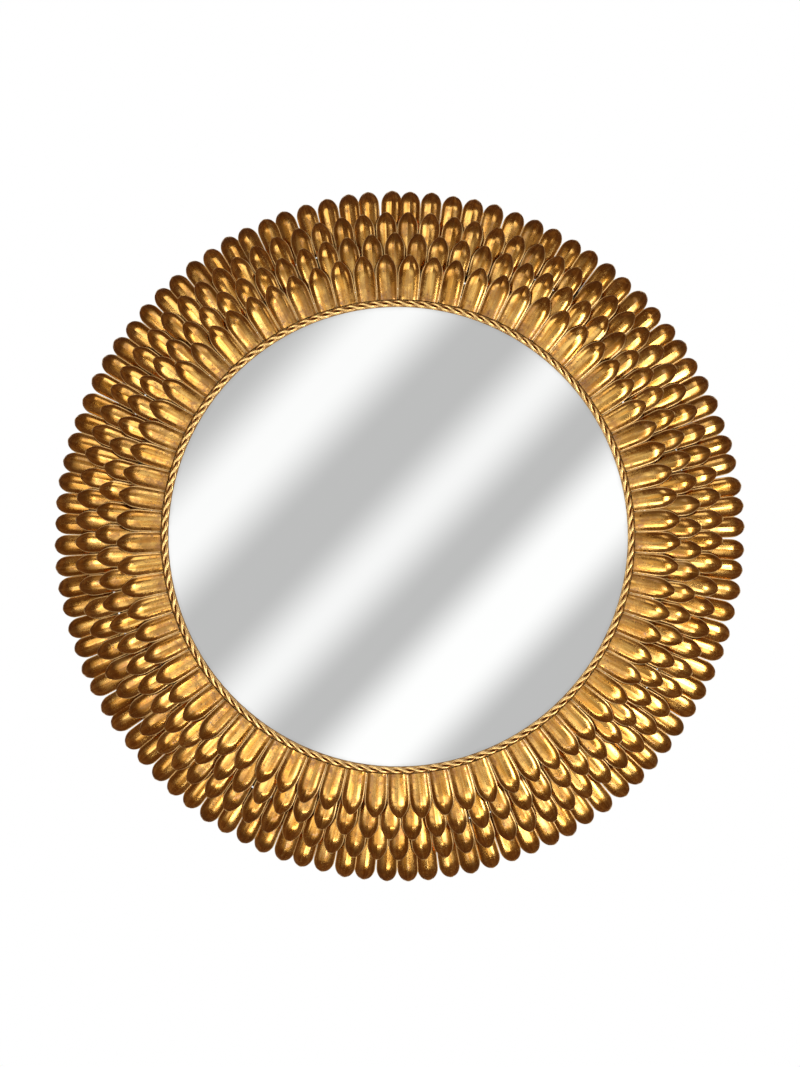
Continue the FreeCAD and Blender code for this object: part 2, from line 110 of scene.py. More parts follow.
class Graph:
    """Adds and joins nodes in one tree."""

    def __init__(self, tree: bpy.types.NodeTree) -> None:
        """Keeps the tree that nodes go into."""
        self.tree = tree

    def add(self, kind: str, **settings: object) -> bpy.types.Node:
        """Adds a node of a kind and sets its plain settings."""
        node = self.tree.nodes.new(kind)
        for name, value in settings.items():
            setattr(node, name, value)
        return node

    def feed(self, socket: bpy.types.NodeSocket, value: Value) -> None:
        """Joins a socket to another, or gives it a value."""
        if isinstance(value, bpy.types.NodeSocket):
            self.tree.links.new(value, socket)
        elif isinstance(value, tuple) and len(value) == 3 and socket.type == "RGBA":
            socket.default_value = (*value, 1.0)
        else:
            socket.default_value = value

    def math(self, operation: str, a: Value, b: Value = 0.0) -> bpy.types.NodeSocket:
        """Adds a Math node and returns its result."""
        node = self.add("ShaderNodeMath", operation=operation)
        self.feed(node.inputs[0], a)
        self.feed(node.inputs[1], b)
        return node.outputs[0]

    def plus(self, a: Value, b: Value) -> bpy.types.NodeSocket:
        """Adds two values."""
        return self.math("ADD", a, b)

    def minus(self, a: Value, b: Value) -> bpy.types.NodeSocket:
        """Takes the second value from the first."""
        return self.math("SUBTRACT", a, b)

    def times(self, a: Value, b: Value) -> bpy.types.NodeSocket:
        """Multiplies two values."""
        return self.math("MULTIPLY", a, b)

    def hypot(self, a: Value, b: Value) -> bpy.types.NodeSocket:
        """Length of a line from its two parts at right angles."""
        return self.math("SQRT", self.plus(self.math("POWER", a, 2.0), self.math("POWER", b, 2.0)))

    def raised(self, base: Value, *parts: tuple[Value, float]) -> Value:
        """Adds to a value a share of each of some masks.

        Args:
            base: The value where every mask is empty.
            parts: Each mask and what it adds where it is full.

        Returns:
            The raised value.
        """
        for mask, share in parts:
            base = self.plus(base, self.times(mask, share))
        return base

    def mix(self, share: Value, a: Value, b: Value) -> bpy.types.NodeSocket:
        """Mixes two colours by a share of the second."""
        node = self.add("ShaderNodeMix", data_type="RGBA")
        self.feed(node.inputs["Factor"], share)
        self.feed(node.inputs[6], a)
        self.feed(node.inputs[7], b)
        return node.outputs[2]

    def over(self, under: Value, mask: Value, strength: float,
             colour: Value) -> bpy.types.NodeSocket:
        """Lays a colour over another where a mask is full, up to a strength."""
        return self.mix(self.times(mask, strength), under, colour)

    def split(self, vector: Value) -> Sockets:
        """Returns the three parts of a vector."""
        node = self.add("ShaderNodeSeparateXYZ")
        self.feed(node.inputs[0], vector)
        return node.outputs

    def noise(self, place: Value, scale: Value, detail: float,
              roughness: float = 0.5) -> bpy.types.NodeSocket:
        """Adds a noise texture and returns its value."""
        node = self.add("ShaderNodeTexNoise")
        self.feed(node.inputs["Vector"], place)
        self.feed(node.inputs["Scale"], scale)
        node.inputs["Detail"].default_value = detail
        node.inputs["Roughness"].default_value = roughness
        return node.outputs[0]

    def step(self, value: Value, low: Value, high: Value, at_low: Value = 0.0,
             at_high: Value = 1.0) -> bpy.types.NodeSocket:
        """Soft step of a value between two limits.

        Args:
            value: The value that is tested.
            low: Where the step starts.
            high: Where the step ends.
            at_low: Result up to the start.
            at_high: Result from the end on.

        Returns:
            The stepped value.
        """
        node = self.add("ShaderNodeMapRange", interpolation_type="SMOOTHSTEP")
        for socket, given in zip(node.inputs, (value, low, high, at_low, at_high)):
            self.feed(socket, given)
        return node.outputs[0]

    def group(self, name: SharedGroup, **values: Value) -> Sockets:
        """Places a shared group with its own values and returns its outputs."""
        node = self.add("ShaderNodeGroup", node_tree=Effects.get(name))
        for title, value in values.items():
            self.feed(node.inputs[title.replace("_", " ").capitalize()], value)
        return node.outputs


def group_frame(name: SharedGroup, inputs: Sequence[str],
                outputs: Sequence[str]) -> tuple[Graph, Sockets, Sockets]:
    """Starts a shared group.

    Args:
        name: Which group it is.
        inputs: Names of the inputs; Place is a vector and the others are values.
        outputs: Names of the value outputs.

    Returns:
        The graph, what comes into the group and what goes out of it.
    """
    tree = bpy.data.node_groups.new(name.value, "ShaderNodeTree")
    for title in inputs:
        kind = "NodeSocketVector" if title == "Place" else "NodeSocketFloat"
        tree.interface.new_socket(title, in_out="INPUT", socket_type=kind)
    for title in outputs:
        tree.interface.new_socket(title, in_out="OUTPUT", socket_type="NodeSocketFloat")
    graph = Graph(tree)
    return graph, graph.add("NodeGroupInput").outputs, graph.add("NodeGroupOutput").inputs


def tarnish_group() -> bpy.types.NodeTree:
    """Brown clouds, dark specks and a fine unevenness, as on old gilt."""
    graph, given, result = group_frame(SharedGroup.TARNISH, ("Place", "Scale", "Cover", "Specks"),
                                       ("Clouds", "Specks", "Height"))
    bare_edge, cover_drop, softness = 0.68, 0.3, 0.1
    place, scale = given["Place"], given["Scale"]
    broad = graph.noise(place, scale, detail=6.0, roughness=0.62)
    edge = graph.minus(bare_edge, graph.times(given["Cover"], cover_drop))
    clouds = graph.step(broad, graph.minus(edge, softness), graph.plus(edge, softness))
    fine = graph.noise(place, graph.times(scale, 9.0), detail=3.0, roughness=0.6)
    patches = graph.noise(place, graph.times(scale, 1.9), detail=2.0)
    specks = graph.times(graph.step(fine, low=0.57, high=0.64),
                         graph.step(patches, low=0.42, high=0.62))
    graph.feed(result["Clouds"], clouds)
    graph.feed(result["Specks"], graph.times(specks, given["Specks"]))
    height = graph.minus(graph.times(fine, 0.5), specks)
    graph.feed(result["Height"], graph.raised(height, (broad, 0.8)))
    return graph.tree


def painted_rim_highlight_group() -> bpy.types.NodeTree:
    """Band along the rim of a leaf of sheet, from where the leaf's own map runs out; it carries a
    painted highlight.
    """
    graph, given, result = group_frame(
        SharedGroup.PAINTED_RIM_HIGHLIGHT, ("Across", "Along", "Side band", "End band"), ("Rim",))
    side = graph.math("ABSOLUTE", graph.times(graph.minus(given["Across"], 0.5), 2.0))
    sides = graph.step(side, graph.minus(1.0, given["Side band"]), 1.0)
    end = graph.step(given["Along"], graph.minus(1.0, given["End band"]), 1.0)
    graph.feed(result["Rim"], graph.math("MAXIMUM", sides, end))
    return graph.tree


def scratches_group() -> bpy.types.NodeTree:
    """Fine drawn lines along one direction, for plated metal and brass."""
    graph, given, result = group_frame(SharedGroup.SCRATCHES, ("Place", "Scale"), ("Lines",))
    stretch = graph.add("ShaderNodeMapping")
    graph.feed(stretch.inputs["Vector"], given["Place"])
    stretch.inputs["Scale"].default_value = (1.0, 0.06, 1.0)
    graph.feed(result["Lines"],
               graph.noise(stretch.outputs[0], given["Scale"], detail=4.0, roughness=0.7))
    return graph.tree


def dust_group() -> bpy.types.NodeTree:
    """Settled dust on whatever faces up."""
    graph, given, result = group_frame(SharedGroup.DUST, ("Place", "Amount"), ("Dust",))
    facing = graph.split(graph.add("ShaderNodeNewGeometry").outputs["Normal"])
    lying = graph.step(facing["Z"], low=0.35, high=0.95)
    patchy = graph.step(graph.noise(given["Place"], 160.0, detail=4.0), low=0.3, high=0.7)
    graph.feed(result["Dust"], graph.times(graph.times(lying, patchy), given["Amount"]))
    return graph.tree


class Effects:
    """The shared groups, each made once."""

    makers: dict[SharedGroup, Callable[[], bpy.types.NodeTree]] = {
        SharedGroup.TARNISH: tarnish_group,
        SharedGroup.PAINTED_RIM_HIGHLIGHT: painted_rim_highlight_group,
        SharedGroup.SCRATCHES: scratches_group,
        SharedGroup.DUST: dust_group,
    }
    made: dict[SharedGroup, bpy.types.NodeTree] = {}

    @classmethod
    def get(cls, name: SharedGroup) -> bpy.types.NodeTree:
        """Returns a shared group, made on first use."""
        if name not in cls.made:
            cls.made[name] = cls.makers[name]()
        return cls.made[name]


# --- Finishes --------------------------------------------------------------------------
@dataclass(frozen=True)
class Finish:
    """What every finish has: a name and a way to become a material."""

    name: str

    def start(self) -> tuple[bpy.types.Material, Graph, Sockets, bpy.types.NodeSocket]:
        """Returns a new material, its graph, its shader's inputs and its Object coordinates."""
        material = bpy.data.materials.new(self.name)
        material.use_nodes = True
        graph = Graph(material.node_tree)
        shader = material.node_tree.nodes["Principled BSDF"].inputs
        place = graph.add("ShaderNodeTexCoord").outputs["Object"]
        return material, graph, shader, place

    @staticmethod
    def bump(graph: Graph, shader: Sockets, height: Value, strength: float,
             distance: float) -> None:
        """Gives the shader a bump from a height."""
        node = graph.add("ShaderNodeBump")
        node.inputs["Strength"].default_value = strength
        node.inputs["Distance"].default_value = distance
        graph.feed(node.inputs["Height"], height)
        graph.feed(shader["Normal"], node.outputs["Normal"])

    def material(self) -> bpy.types.Material:
        """Builds the material."""
        raise NotImplementedError


@dataclass(frozen=True)
class LeafGilt(Finish):
    """Gilt sheet of the petals: satin gold, browned in clouds, streaks and at the roots, with a
    painted highlight along each rim.
    """

    bright: Colour = (0.95, 0.57, 0.145)
    deep: Colour = (0.68, 0.31, 0.035)
    brown: Colour = (0.22, 0.08, 0.013)
    soot: Colour = (0.03, 0.018, 0.01)
    # painted highlight: pale gold along each petal's rim, in place of its edge catching light
    rim: Colour = (1.0, 0.74, 0.34)
    least_cover: float = 0.29
    cover_spread: float = 0.35
    specks: float = 0.7
    roughness: float = 0.17
    streak_scales: tuple[float, float, float] = (7.0, 1.1, 37.0)
    dullest: float = 0.55
    coat: float = 0.5
    coat_roughness: float = 0.12

    def material(self) -> bpy.types.Material:
        """Builds the material from the petal's own map and its tone attribute."""
        material, graph, shader, place = self.start()
        leaf = graph.split(graph.add("ShaderNodeUVMap", uv_map="leaf").outputs[0])
        across, along = leaf[0], leaf[1]
        tone = graph.add("ShaderNodeAttribute", attribute_name="tone").outputs["Fac"]

        tarnish = graph.group(SharedGroup.TARNISH, place=place, scale=85.0, specks=self.specks,
                              cover=graph.raised(self.least_cover, (tone, self.cover_spread)))
        clouds, specks = tarnish["Clouds"], tarnish["Specks"]
        drawn = graph.add("ShaderNodeCombineXYZ")
        for socket, part, scale in zip(drawn.inputs, (across, along, tone), self.streak_scales):
            graph.feed(socket, graph.times(part, scale))
        streaks = graph.noise(drawn.outputs[0], 1.0, detail=3.0)
        # mask of the painted rim highlight
        rim = graph.group(SharedGroup.PAINTED_RIM_HIGHLIGHT, across=across, along=along,
                          side_band=0.115, end_band=0.03)["Rim"]
        root = graph.step(along, low=0.03, high=0.42, at_low=1.0, at_high=0.0)
        dirt = graph.noise(place, 240.0, detail=4.0, roughness=0.7)
        grime = graph.times(root, graph.step(dirt, low=0.38, high=0.62))

        gold = graph.mix(graph.step(streaks, low=0.32, high=0.64), self.bright, self.deep)
        gold = graph.over(gold, tone, strength=0.24, colour=self.brown)
        gold = graph.over(gold, clouds, strength=0.55, colour=self.brown)
        gold = graph.over(gold, grime, strength=0.52, colour=self.brown)
        gold = graph.over(gold, specks, strength=0.85, colour=self.soot)
        # painted highlight along the rim
        gold = graph.over(gold, rim, strength=0.9, colour=self.rim)
        graph.feed(shader["Base Color"], gold)

        graph.feed(shader["Roughness"], graph.raised(
            self.roughness, (clouds, 0.16), (specks, 0.3), (grime, 0.22), (rim, 0.28)))
        # the painted rim highlight is also made less metallic, so it stays bright whatever it faces
        dull = graph.math("MAXIMUM", graph.math("MAXIMUM", specks, grime), graph.times(rim, 0.85))
        graph.feed(shader["Metallic"], graph.minus(1.0, graph.times(dull, self.dullest)))
        graph.feed(shader["Coat Weight"], self.coat)
        graph.feed(shader["Coat Roughness"], self.coat_roughness)
        self.bump(graph, shader, graph.raised(tarnish["Height"], (streaks, 1.2)),
                  strength=0.2, distance=0.00008)
        return material


@dataclass(frozen=True)
class PlainGilt(Finish):
    """Gilt wire and ring: the same gold without a petal's map.

    A shaded crevice, given as the distance and height of a rope's middle, gets painted shade
    between wires.
    """

    bright: Colour = (1.0, 0.67, 0.25)
    brown: Colour = (0.30, 0.12, 0.03)
    soot: Colour = (0.04, 0.025, 0.012)
    dust: Colour = (0.42, 0.36, 0.28)
    cover: float = 0.25
    roughness: float = 0.3
    shaded_crevice: Optional[tuple[float, float]] = None

    def material(self) -> bpy.types.Material:
        """Builds the material."""
        material, graph, shader, place = self.start()
        tarnish = graph.group(SharedGroup.TARNISH, place=place, scale=140.0, cover=self.cover,
                              specks=0.5)
        dust = graph.group(SharedGroup.DUST, place=place, amount=0.2)["Dust"]
        gold = graph.over(self.bright, tarnish["Clouds"], strength=0.5, colour=self.brown)
        gold = graph.over(gold, tarnish["Specks"], strength=0.8, colour=self.soot)
        # painted shade: brown where the rope's two wires meet, darkening the crevice between them
        if self.shaded_crevice:
            gold = graph.mix(self.out_of_crevice_shade(graph, place), self.brown, gold)
        graph.feed(shader["Base Color"], graph.mix(dust, gold, self.dust))
        graph.feed(shader["Roughness"], graph.raised(self.roughness, (tarnish["Clouds"], 0.15)))
        graph.feed(shader["Metallic"], graph.minus(1.0, graph.times(dust, 0.8)))
        self.bump(graph, shader, tarnish["Height"], strength=0.25, distance=0.00008)
        return material

    def out_of_crevice_shade(self, graph: Graph, place: bpy.types.NodeSocket) -> bpy.types.NodeSocket:
        """How far a point of a wire is from the middle of the rope, 0 to 1; 0 is painted shade."""
        distance, height = self.shaded_crevice
        point = graph.split(place)
        up = graph.minus(point["Z"], GLASS_MIDDLE_Z * MM)
        out = graph.minus(graph.hypot(point["X"], up), distance * MM)
        forward = graph.plus(point["Y"], (height - HINGE_HEIGHT) * MM)
        return graph.step(graph.hypot(out, forward), low=1.2 * MM, high=2.3 * MM)


@dataclass(frozen=True)
class DarkPaint(Finish):
    """Matt brown paint on the hoops, ribs and back ring, with gilt overspray and dust."""

    paint: Colour = (0.075, 0.048, 0.028)
    faded: Colour = (0.14, 0.07, 0.035)
    overspray: Colour = (0.42, 0.27, 0.09)
    dust: Colour = (0.34, 0.30, 0.25)
    roughness: float = 0.62

    def material(self) -> bpy.types.Material:
        """Builds the material."""
        material, graph, shader, place = self.start()
        tarnish = graph.group(SharedGroup.TARNISH, place=place, scale=60.0, cover=0.4, specks=1.0)
        dust = graph.group(SharedGroup.DUST, place=place, amount=0.45)["Dust"]
        spray = graph.step(graph.noise(place, 900.0, detail=2.0), low=0.56, high=0.66)
        worn = graph.times(spray, tarnish["Clouds"])
        paint = graph.over(self.paint, tarnish["Clouds"], strength=0.4, colour=self.faded)
        paint = graph.mix(worn, paint, self.overspray)
        graph.feed(shader["Base Color"], graph.mix(dust, paint, self.dust))
        graph.feed(shader["Roughness"], graph.minus(self.roughness, graph.times(worn, 0.25)))
        graph.feed(shader["Metallic"], graph.times(worn, 0.8))
        self.bump(graph, shader, tarnish["Height"], strength=0.4, distance=0.0004)
        return material


@dataclass(frozen=True)
class PlatedMetal(Finish):
    """Brass or zinc-plated steel with drawn lines, stains and a dull film."""

    metal: Colour = (0.60, 0.60, 0.60)
    stain: Colour = (0.30, 0.27, 0.24)
    soot: Colour = (0.06, 0.05, 0.04)
    roughness: float = 0.24

    def material(self) -> bpy.types.Material:
        """Builds the material."""
        material, graph, shader, place = self.start()
        lines = graph.group(SharedGroup.SCRATCHES, place=place, scale=2600.0)["Lines"]
        tarnish = graph.group(SharedGroup.TARNISH, place=place, scale=210.0, cover=0.4, specks=0.5)
        metal = graph.over(self.metal, tarnish["Clouds"], strength=0.6, colour=self.stain)
        metal = graph.over(metal, tarnish["Specks"], strength=0.7, colour=self.soot)
        graph.feed(shader["Base Color"], metal)
        graph.feed(shader["Roughness"], graph.raised(
            self.roughness, (lines, 0.2), (tarnish["Clouds"], 0.15)))
        graph.feed(shader["Metallic"], 1.0)
        self.bump(graph, shader, lines, strength=0.15, distance=0.0001)
        return material


@dataclass(frozen=True)
class SilveredGlass(Finish):
    """Clean mirror with a faint grey breath of old silver close to its edge."""

    silver: Colour = (0.93, 0.935, 0.93)
    aged: Colour = (0.74, 0.74, 0.72)
    patch_depth: float = 0.006
    rim_roughness: float = 0.08

    def material(self) -> bpy.types.Material:
        """Builds the material."""
        material, graph, shader, place = self.start()
        middle = graph.add("ShaderNodeVectorMath", operation="SUBTRACT")
        graph.feed(middle.inputs[0], place)
        middle.inputs[1].default_value = (0.0, 0.0, GLASS_MIDDLE_Z * MM)
        flat = graph.add("ShaderNodeVectorMath", operation="MULTIPLY")
        graph.feed(flat.inputs[0], middle.outputs[0])
        flat.inputs[1].default_value = (1.0, 0.0, 1.0)
        distance = graph.add("ShaderNodeVectorMath", operation="LENGTH")
        graph.feed(distance.inputs[0], flat.outputs[0])
        patchy = graph.noise(place, 60.0, detail=5.0)
        edge = graph.step(graph.raised(distance.outputs["Value"], (patchy, self.patch_depth)),
                          low=0.196, high=0.203)
        graph.feed(shader["Base Color"], graph.mix(edge, self.silver, self.aged))
        graph.feed(shader["Roughness"], graph.times(edge, self.rim_roughness))
        graph.feed(shader["Metallic"], 1.0)
        return material


@dataclass(frozen=True)
class Fibre(Finish):
    """Felt, hardboard or rubber: a dull body with grain at its own scale."""

    body: Colour = (0.25, 0.24, 0.22)
    fleck: Colour = (0.40, 0.38, 0.34)
    dust: Colour = (0.5, 0.47, 0.42)
    scale: float = 1400.0
    depth: float = 0.0006
    roughness: float = 0.82
    sheen: float = 0.0
    cloud_shade: float = 0.6

    def material(self) -> bpy.types.Material:
        """Builds the material."""
        material, graph, shader, place = self.start()
        grain = graph.noise(place, self.scale, detail=5.0, roughness=0.7)
        clouds = graph.step(graph.noise(place, self.scale / 30.0, detail=4.0),
                            low=0.35, high=0.75, at_low=0.0, at_high=0.35)
        dust = graph.group(SharedGroup.DUST, place=place, amount=0.3)["Dust"]
        shaded = tuple(part * self.cloud_shade for part in self.body)
        body = graph.mix(graph.step(grain, low=0.42, high=0.68), self.body, self.fleck)
        body = graph.mix(clouds, body, shaded)
        graph.feed(shader["Base Color"], graph.mix(dust, body, self.dust))
        graph.feed(shader["Roughness"], graph.raised(self.roughness, (grain, 0.15)))
        graph.feed(shader["Sheen Weight"], self.sheen)
        self.bump(graph, shader, grain, strength=0.5, distance=self.depth)
        return material


class Finishes:
    """Every finish of the mirror, built once and shared."""

    def __init__(self) -> None:
        """Builds the materials."""
        self.petal = LeafGilt("petal_gilt").material()
        # the rope gets painted shade in the crevice where its two wires meet
        self.rope = PlainGilt("rope_gilt", shaded_crevice=(199.92, 60.69)).material()
        self.bezel = PlainGilt("bezel_gilt", bright=(0.62, 0.38, 0.13), cover=0.55,
                               roughness=0.38).material()
        self.carrier = DarkPaint("carrier_paint").material()
        self.glass = SilveredGlass("silvered_glass").material()
        self.felt = Fibre("packing_felt", sheen=0.3).material()
        self.board = Fibre("backing_hardboard", body=(0.24, 0.135, 0.07), fleck=(0.36, 0.22, 0.12),
                           scale=900.0, depth=0.0003, roughness=0.67).material()
        self.rubber = Fibre("pad_rubber", body=(0.025, 0.025, 0.026), fleck=(0.045, 0.045, 0.045),
                            scale=2200.0, depth=0.0001, roughness=0.54).material()
        self.brass = PlatedMetal("button_brass", metal=(0.78, 0.56, 0.24),
                                 stain=(0.38, 0.24, 0.10)).material()
        self.steel = PlatedMetal("fitting_steel").material()


# --- Pieces ----------------------------------------------------------------------------
def add_piece(name: str, mesh: bpy.types.Mesh, material: bpy.types.Material,
              smooth: bool = True) -> bpy.types.Object:
    """Dresses a mesh and puts it in the scene.

    Args:
        name: Name of the object.
        mesh: Its mesh.
        material: What it is made of.
        smooth: Whether its faces are shaded as one surface.

    Returns:
        The object, linked and at the origin.
    """
    for polygon in mesh.polygons:
        polygon.use_smooth = smooth
    mesh.materials.clear()
    mesh.materials.append(material)
    piece = bpy.data.objects.new(name, mesh)
    bpy.context.scene.collection.objects.link(piece)
    return piece


def new_piece(name: str, mesh_of: bmesh.types.BMesh, material: bpy.types.Material,
              smooth: bool = True) -> bpy.types.Object:
    """Turns a finished bmesh, which is freed here, into a dressed object in the scene."""
    mesh = bpy.data.meshes.new(name)
    mesh_of.to_mesh(mesh)
    mesh_of.free()
    return add_piece(name, mesh, material, smooth)


def numbered(stem: str, count: int) -> list[str]:
    """Returns the names of a run of CAD nodes, from 1 on."""
    return ["%s_%d" % (stem, number) for number in range(1, count + 1)]


def dress(nodes: Iterable[str], material: bpy.types.Material, frame: dict) -> None:
    """Gives CAD nodes that keep their own shape a finish."""
    for name in nodes:
        slots = frame["nodes"][name].data.materials
        slots.clear()
        slots.append(material)


@dataclass
class PetalTier:
    """One ring of petals, in millimetres and degrees.

    A petal is a pointed, arched leaf with a soft fold along its middle. It runs straight from
    its root and then curls back towards the wall. Places, reach, full width, tilt and curl are
    those of the CAD tier. The tips are a little rounder, the roots of tiers 2 to 4 a little
    wider, and the whole leaf is wider by closer, which shuts most gaps between neighbours.

    The columns of a petal's grid run across it, from -1 to 1, and fall away from its fold by
    their share of half its width. The rows run from its root to its tip in three stretches.
    """

    number: int
    count: int
    first_angle: float
    root: float
    reach: float
    crest: float
    root_width: float
    full_width: float
    point_length: float
    tilt: float
    curl_radius: float
    curl: float
    tip_rounding: float
    closer: float = 0.35
    sheet: float = 0.8
    under_rope: float = 0.0
    steepest: float = 0.42
    fold_crease: float = 0.8
    rim_crease: float = 0.9
    shortening: tuple[float, float] = (0.006, 0.038)
    yaw_spread: float = 0.8
    roll_spread: float = 5.0
    lifts: tuple[float, float] = (-0.15, 0.2)
    columns: Sequence[float] = (-1.0, -0.9, -0.68, -0.36, 0.0, 0.36, 0.68, 0.9, 1.0)
    falls: Sequence[float] = (0.355, 0.342, 0.150, 0.056, 0.0, 0.056, 0.150, 0.342, 0.355)
    straight_rows: Sequence[float] = (0.0, 0.3, 0.62, 1.0)
    bow_rows: Sequence[float] = (0.33, 0.66, 1.0)
    tip_rows: Sequence[float] = (0.4, 0.75, 0.93)

    def outline(self) -> list[tuple[float, float]]:
        """Distance from the root and half width at every row of a petal's grid."""
        half_full = self.full_width / 2
        bow = (self.point_length ** 2 + half_full ** 2) / self.full_width
        to_tip_circle = math.sqrt((bow - self.tip_rounding) ** 2 - (bow - half_full) ** 2)
        tip_centre = self.reach - self.tip_rounding
        shoulder = tip_centre - to_tip_circle
        touch = math.atan2(bow - half_full, to_tip_circle)
        spread = self.full_width - self.root_width
        rows = [(shoulder * share - self.under_rope * (1 - share),
                 (self.root_width + spread * share) / 2) for share in self.straight_rows]
        for share in self.bow_rows:
            angle = math.pi / 2 + (touch - math.pi / 2) * share
            rows.append((shoulder + bow * math.cos(angle), bow * math.sin(angle) - bow + half_full))
        for share in self.tip_rows:
            angle = touch * (1 - share)
            rows.append((tip_centre + self.tip_rounding * math.cos(angle),
                         self.tip_rounding * math.sin(angle)))
        return [(distance, half * (1 + self.closer / self.full_width)) for distance, half in rows]

    def spine(self, distance: float) -> tuple[float, float]:
        """Height of the middle line above the wall, and its slope in radians, at a distance."""
        tilt = math.radians(self.tilt)
        end = math.radians(self.tilt + self.curl)
        start = self.reach - self.curl_radius * (math.sin(end) - math.sin(tilt))
        past = max(distance - start, 0.0)
        angle = math.asin(min(past / self.curl_radius + math.sin(tilt), 1.0))
        curled = self.curl_radius * (math.cos(tilt) - math.cos(angle))
        return self.crest - min(distance, start) * math.tan(tilt) - curled, angle

    def build(self, material: bpy.types.Material, dice: random.Random) -> bpy.types.Object:
        """Builds every petal of the ring as one piece.

        Args:
            material: The gilt sheet.
            dice: Source of the small differences between petals.

        Returns:
            The piece, with its thickness and subdivision as modifiers.
        """
        outline = self.outline()
        leaf = bmesh.new()
        tone_layer = leaf.verts.layers.float.new("tone")
        uv_layer = leaf.loops.layers.uv.new("leaf")
        crease = leaf.edges.layers.float.new("crease_edge")
        on_fold = 0.01
        for index in range(self.count):
            made = bmesh.ops.create_grid(leaf, x_segments=len(self.columns) - 1,
                                         y_segments=len(outline) - 1, size=1.0)
            for edge in {edge for vert in made["verts"] for edge in vert.link_edges}:
                if all(abs(vert.co.x) < on_fold for vert in edge.verts):
                    edge[crease] = self.fold_crease
                    edge.smooth = False
            self.shape_petal(made["verts"], outline, uv_layer, tone_layer, index, dice)
        leaf.normal_update()
        backwards = [face for face in leaf.faces if face.normal.y > 0]
        if len(backwards) > len(leaf.faces) / 2:
            bmesh.ops.reverse_faces(leaf, faces=leaf.faces)
        piece = new_piece("petals_%d" % self.number, leaf, material)
        thickness = piece.modifiers.new("sheet", "SOLIDIFY")
        thickness.thickness = self.sheet * MM
        thickness.offset = -1.0
        thickness.edge_crease_outer = thickness.edge_crease_inner = self.rim_crease
        rounding = piece.modifiers.new("rounding", "SUBSURF")
        rounding.levels = rounding.render_levels = 1
        piece.modifiers.new("flat_faces_lead", "WEIGHTED_NORMAL").keep_sharp = True
        return piece

    def shape_petal(self, verts: list, outline: Sequence[tuple[float, float]], uv_layer: object,
                    tone_layer: object, index: int, dice: random.Random) -> None:
        """Bends one flat grid into a petal in its place.

        Args:
            verts: The grid's vertices, from -1 to 1 both ways.
            outline: Distance from the root and half width of each row.
            uv_layer: Takes the petal's own map.
            tone_layer: Takes a number that tells petals apart.
            index: Which petal of the ring this is.
            dice: Source of the small differences.
        """
        middle = math.radians(self.first_angle + index * 360.0 / self.count)
        shorter = 1 - dice.uniform(*self.shortening)
        yaw = math.tan(math.radians(dice.gauss(0.0, self.yaw_spread)))
        roll = math.tan(math.radians(dice.gauss(0.0, self.roll_spread)))
        lift = dice.uniform(*self.lifts)
        tone = dice.random()
        for vert in verts:
            column = round((vert.co.x + 1) / 2 * (len(self.columns) - 1))
            across = self.columns[column]
            distance, half = outline[round((vert.co.y + 1) / 2 * (len(outline) - 1))]
            along = distance / self.reach
            side = across * half
            height, slope = self.spine(distance * shorter)
            fall = self.falls[column] * half / max(math.cos(slope), self.steepest)
            out = self.root + distance * shorter
            up = height + lift * along - fall + side * roll * along
            turned = side + distance * yaw
            vert.co = on_wall(math.hypot(out, turned), middle + math.atan2(turned, out), up)
            vert[tone_layer] = tone
            for loop in vert.link_loops:
                loop[uv_layer].uv = ((across + 1) / 2, along)


@dataclass
class RopeTrim:
    """Two gilt wires twisted round each other over the edge of the glass, in millimetres."""

    radius: float = 199.92
    height: float = 60.68
    twists: int = 60
    wire: float = 1.42
    offset: float = 1.5
    steps_per_twist: int = 12
    roundness: int = 3

    def build(self, phase: float, name: str, material: bpy.types.Material) -> bpy.types.Object:
        """Builds one wire from a tube that follows its helix.

        Args:
            phase: Where the wire starts in its twist, in radians.
            name: Name of the piece.
            material: The gilt wire.

        Returns:
            The wire as a mesh.
        """
        count = self.twists * self.steps_per_twist
        line = bpy.data.curves.new(name, "CURVE")
        line.dimensions = "3D"
        line.bevel_depth = self.wire * MM
        line.bevel_resolution = self.roundness
        spline = line.splines.new("POLY")
        spline.points.add(count - 1)
        for index, point in enumerate(spline.points):
            angle = 2 * math.pi * index / count
            twist = phase - self.twists * angle
            place = on_wall(self.radius + self.offset * math.cos(twist), angle,
                            self.height + self.offset * math.sin(twist))
            point.co = (*place, 1.0)
        spline.use_cyclic_u = True
        wound = bpy.data.objects.new(name + "_line", line)
        bpy.context.scene.collection.objects.link(wound)
        solid = wound.evaluated_get(bpy.context.evaluated_depsgraph_get())
        mesh = bpy.data.meshes.new_from_object(solid)
        bpy.data.objects.remove(wound)
        bpy.data.curves.remove(line)
        mesh.name = name
        return add_piece(name, mesh, material)


@dataclass
class MirrorPlate:
    """The glass, at the depth where its silvered rear face shows through it, in millimetres."""

    radius: float = 200.0
    front: float = 53.4
    rear: float = 52.2
    chamfer: float = 0.6
    sides: int = 128

    def build(self, material: bpy.types.Material) -> bpy.types.Object:
        """Builds the plate as a disc with a ground edge."""
        plate = bmesh.new()
        bmesh.ops.create_circle(plate, cap_ends=True, segments=self.sides, radius=self.radius * MM)
        thick = bmesh.ops.extrude_face_region(plate, geom=plate.faces[:])
        moved = [item for item in thick["geom"] if isinstance(item, bmesh.types.BMVert)]
        bmesh.ops.translate(plate, vec=(0, 0, (self.front - self.rear) * MM), verts=moved)
        bmesh.ops.recalc_face_normals(plate, faces=plate.faces)
        rim = [edge for edge in plate.edges if all(vert in moved for vert in edge.verts)]
        bmesh.ops.bevel(plate, geom=rim, offset=self.chamfer * MM, offset_type="OFFSET",
                        segments=1, profile=0.5, affect="EDGES", material=-1)
        stand = Matrix.Translation(on_wall(0, 0, self.rear)) @ UPRIGHT
        bmesh.ops.transform(plate, matrix=stand, verts=plate.verts)
        return new_piece("glass_plate", plate, material, smooth=False)


